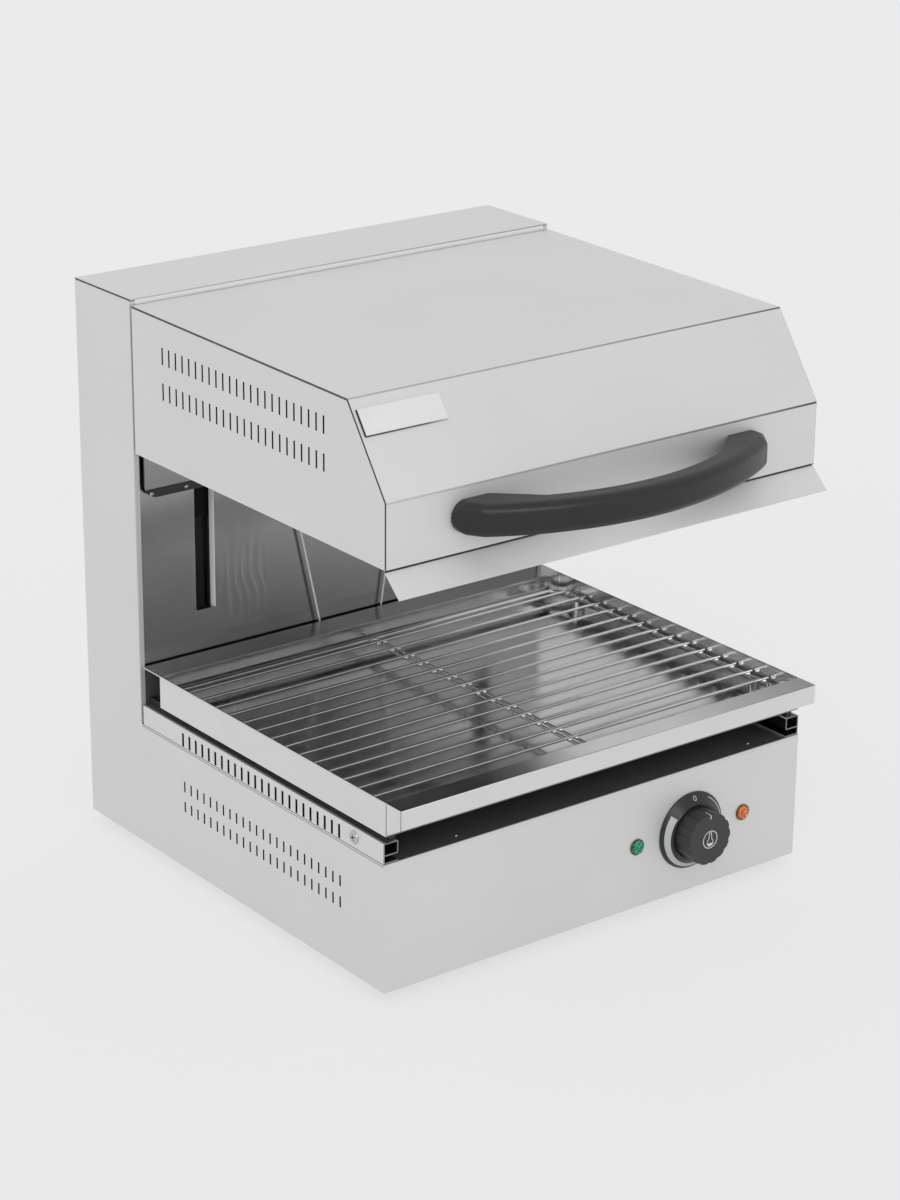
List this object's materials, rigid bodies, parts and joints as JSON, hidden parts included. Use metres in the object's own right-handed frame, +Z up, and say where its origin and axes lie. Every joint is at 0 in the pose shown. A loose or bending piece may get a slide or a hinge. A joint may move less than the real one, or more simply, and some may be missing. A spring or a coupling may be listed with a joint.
{
  "type": "salamander grill",
  "caption": "Countertop salamander grill: stainless cabinet with rear lift column, counterbalanced sliding hood with electric elements, slide-out drip tray with wire rack, thermostat knob.",
  "frame": {"origin": "middle of the whole outline's bounding box at the underside of the rubber feet", "axes": "+X to the right seen from the front, +Y to the back where the supply gland is, +Z up"},
  "size_m": [0.4532, 0.5336, 0.51],
  "materials": {
    "stainless_satin": "satin stainless sheet",
    "stainless_inner": "brighter rolled stainless sheet inside the grill space",
    "black_enamel": "black enamel",
    "galvanised_steel": "zinc-coated sheet, unpolished",
    "plated_steel": "zinc-plated",
    "bright_wire": "bright plated wire",
    "steel_cable": "twisted steel cable drawn as a round rod",
    "foot_rubber": "black rubber",
    "runner_plastic": "black low-friction strip",
    "element_steel": "heat-darkened steel tube",
    "ceramic": "off-white glazed ceramic",
    "black_plastic": "black moulded plastic",
    "roller_nylon": "off-white nylon",
    "weight_iron": "cast, black paint",
    "lens_green": "clear green moulded lens, drawn opaque",
    "lens_orange": "clear orange moulded lens, drawn opaque",
    "terminal_plastic": "pale moulded plastic",
    "plate_silver": "bare silver plate with a bevelled border"
  },
  "bodies": {
    "cabinet": {"side_panel_left": "stainless_satin", "side_panel_right": "stainless_satin", "front_panel": "stainless_satin", "column_top_cover": "stainless_satin", "column_rear_cover": "stainless_satin", "rail_left": "stainless_satin", "rail_right": "stainless_satin", "back_panel": "stainless_inner", "base_deck": "black_enamel", "bottom_plate": "galvanised_steel", "guide_channels": "galvanised_steel", "pulley_beam": "galvanised_steel", "foot_fasteners": "plated_steel", "panel_screws": "plated_steel", "rail_screws": "plated_steel", "pulley_axles": "plated_steel", "thermostat_screws": "plated_steel", "bonding_stud": "plated_steel", "cable_wraps": "steel_cable", "rubber_feet": "foot_rubber", "weight_buffers": "foot_rubber", "tray_runners": "runner_plastic", "dial_bezel": "black_plastic", "cable_gland": "black_plastic", "thermostat": "black_plastic", "lamp_bodies": "black_plastic", "pilot_lamp_green": "lens_green", "pilot_lamp_orange": "lens_orange", "terminal_block": "terminal_plastic"},
    "hood": {"hood_shell": "stainless_satin", "hood_side_left": "stainless_satin", "hood_side_right": "stainless_satin", "hood_deflector": "stainless_satin", "hood_rear_shield": "stainless_inner", "shield_screws": "plated_steel", "hood_reflector": "stainless_inner", "heating_elements": "element_steel", "element_bushes": "ceramic", "element_hangers": "stainless_inner", "handle": "black_plastic", "handle_screws": "plated_steel", "badge_plate": "plate_silver", "lift_arms": "black_enamel", "arm_bolts": "plated_steel", "carriage": "galvanised_steel", "roller_axles": "plated_steel", "hood_cables": "steel_cable"},
    "roller_left_lower": {"guide_roller_left_lower": "roller_nylon"},
    "roller_left_upper": {"guide_roller_left_upper": "roller_nylon"},
    "roller_right_lower": {"guide_roller_right_lower": "roller_nylon"},
    "roller_right_upper": {"guide_roller_right_upper": "roller_nylon"},
    "pulley_left": {"pulley_left": "roller_nylon"},
    "pulley_right": {"pulley_right": "roller_nylon"},
    "counterweight": {"counterweight": "weight_iron", "weight_cables": "steel_cable"},
    "tray": {"tray_pan": "stainless_satin"},
    "rack": {"rack_frame": "bright_wire", "rack_wires": "bright_wire"},
    "knob": {"knob": "black_plastic", "thermostat_shaft": "plated_steel"}
  },
  "joints": [
    {"name": "hood_lift", "type": "slide", "parent": "cabinet", "child": "hood", "axis": [0, 0, 1], "range_m": [-0.115, 0], "deforming": ["hood_cables"]},
    {"name": "counterweight_slide", "type": "slide", "parent": "cabinet", "child": "counterweight", "axis": [0, 0, 1], "range_m": [0, 0.115], "deforming": ["weight_cables"]},
    {"name": "roller_left_lower_spin", "type": "hinge", "parent": "hood", "child": "roller_left_lower", "pos_m": [-0.214, 0.20075, 0.315], "axis": [1, 0, 0], "range_deg": [0, 528]},
    {"name": "roller_left_upper_spin", "type": "hinge", "parent": "hood", "child": "roller_left_upper", "pos_m": [-0.214, 0.20075, 0.415], "axis": [1, 0, 0], "range_deg": [-528, 0]},
    {"name": "pulley_left_spin", "type": "hinge", "parent": "cabinet", "child": "pulley_left", "pos_m": [-0.11, 0.20875, 0.464], "axis": [1, 0, 0], "range_deg": [0, 281]},
    {"name": "roller_right_lower_spin", "type": "hinge", "parent": "hood", "child": "roller_right_lower", "pos_m": [0.214, 0.20075, 0.315], "axis": [1, 0, 0], "range_deg": [0, 528]},
    {"name": "roller_right_upper_spin", "type": "hinge", "parent": "hood", "child": "roller_right_upper", "pos_m": [0.214, 0.20075, 0.415], "axis": [1, 0, 0], "range_deg": [-528, 0]},
    {"name": "pulley_right_spin", "type": "hinge", "parent": "cabinet", "child": "pulley_right", "pos_m": [0.11, 0.20875, 0.464], "axis": [1, 0, 0], "range_deg": [0, 281]},
    {"name": "tray_slide", "type": "slide", "parent": "cabinet", "child": "tray", "axis": [0, -1, 0], "range_m": [0, 0.3]},
    {"name": "rack_lift", "type": "slide", "parent": "tray", "child": "rack", "axis": [0, 0, 1], "range_m": [0, 0.045]},
    {"name": "knob_turn", "type": "hinge", "parent": "cabinet", "child": "knob", "pos_m": [0.1015, -0.20925, 0.067], "axis": [0, 1, 0], "range_deg": [0, 300]}
  ],
  "couplings": [
    {"joint": "counterweight_slide", "follows": "hood_lift", "ratio": -1},
    {"joint": "roller_left_lower_spin", "follows": "hood_lift", "rad_per_m": -80},
    {"joint": "roller_left_upper_spin", "follows": "hood_lift", "rad_per_m": 80},
    {"joint": "pulley_left_spin", "follows": "hood_lift", "rad_per_m": -42.553},
    {"joint": "roller_right_lower_spin", "follows": "hood_lift", "rad_per_m": -80},
    {"joint": "roller_right_upper_spin", "follows": "hood_lift", "rad_per_m": 80},
    {"joint": "pulley_right_spin", "follows": "hood_lift", "rad_per_m": -42.553}
  ]
}
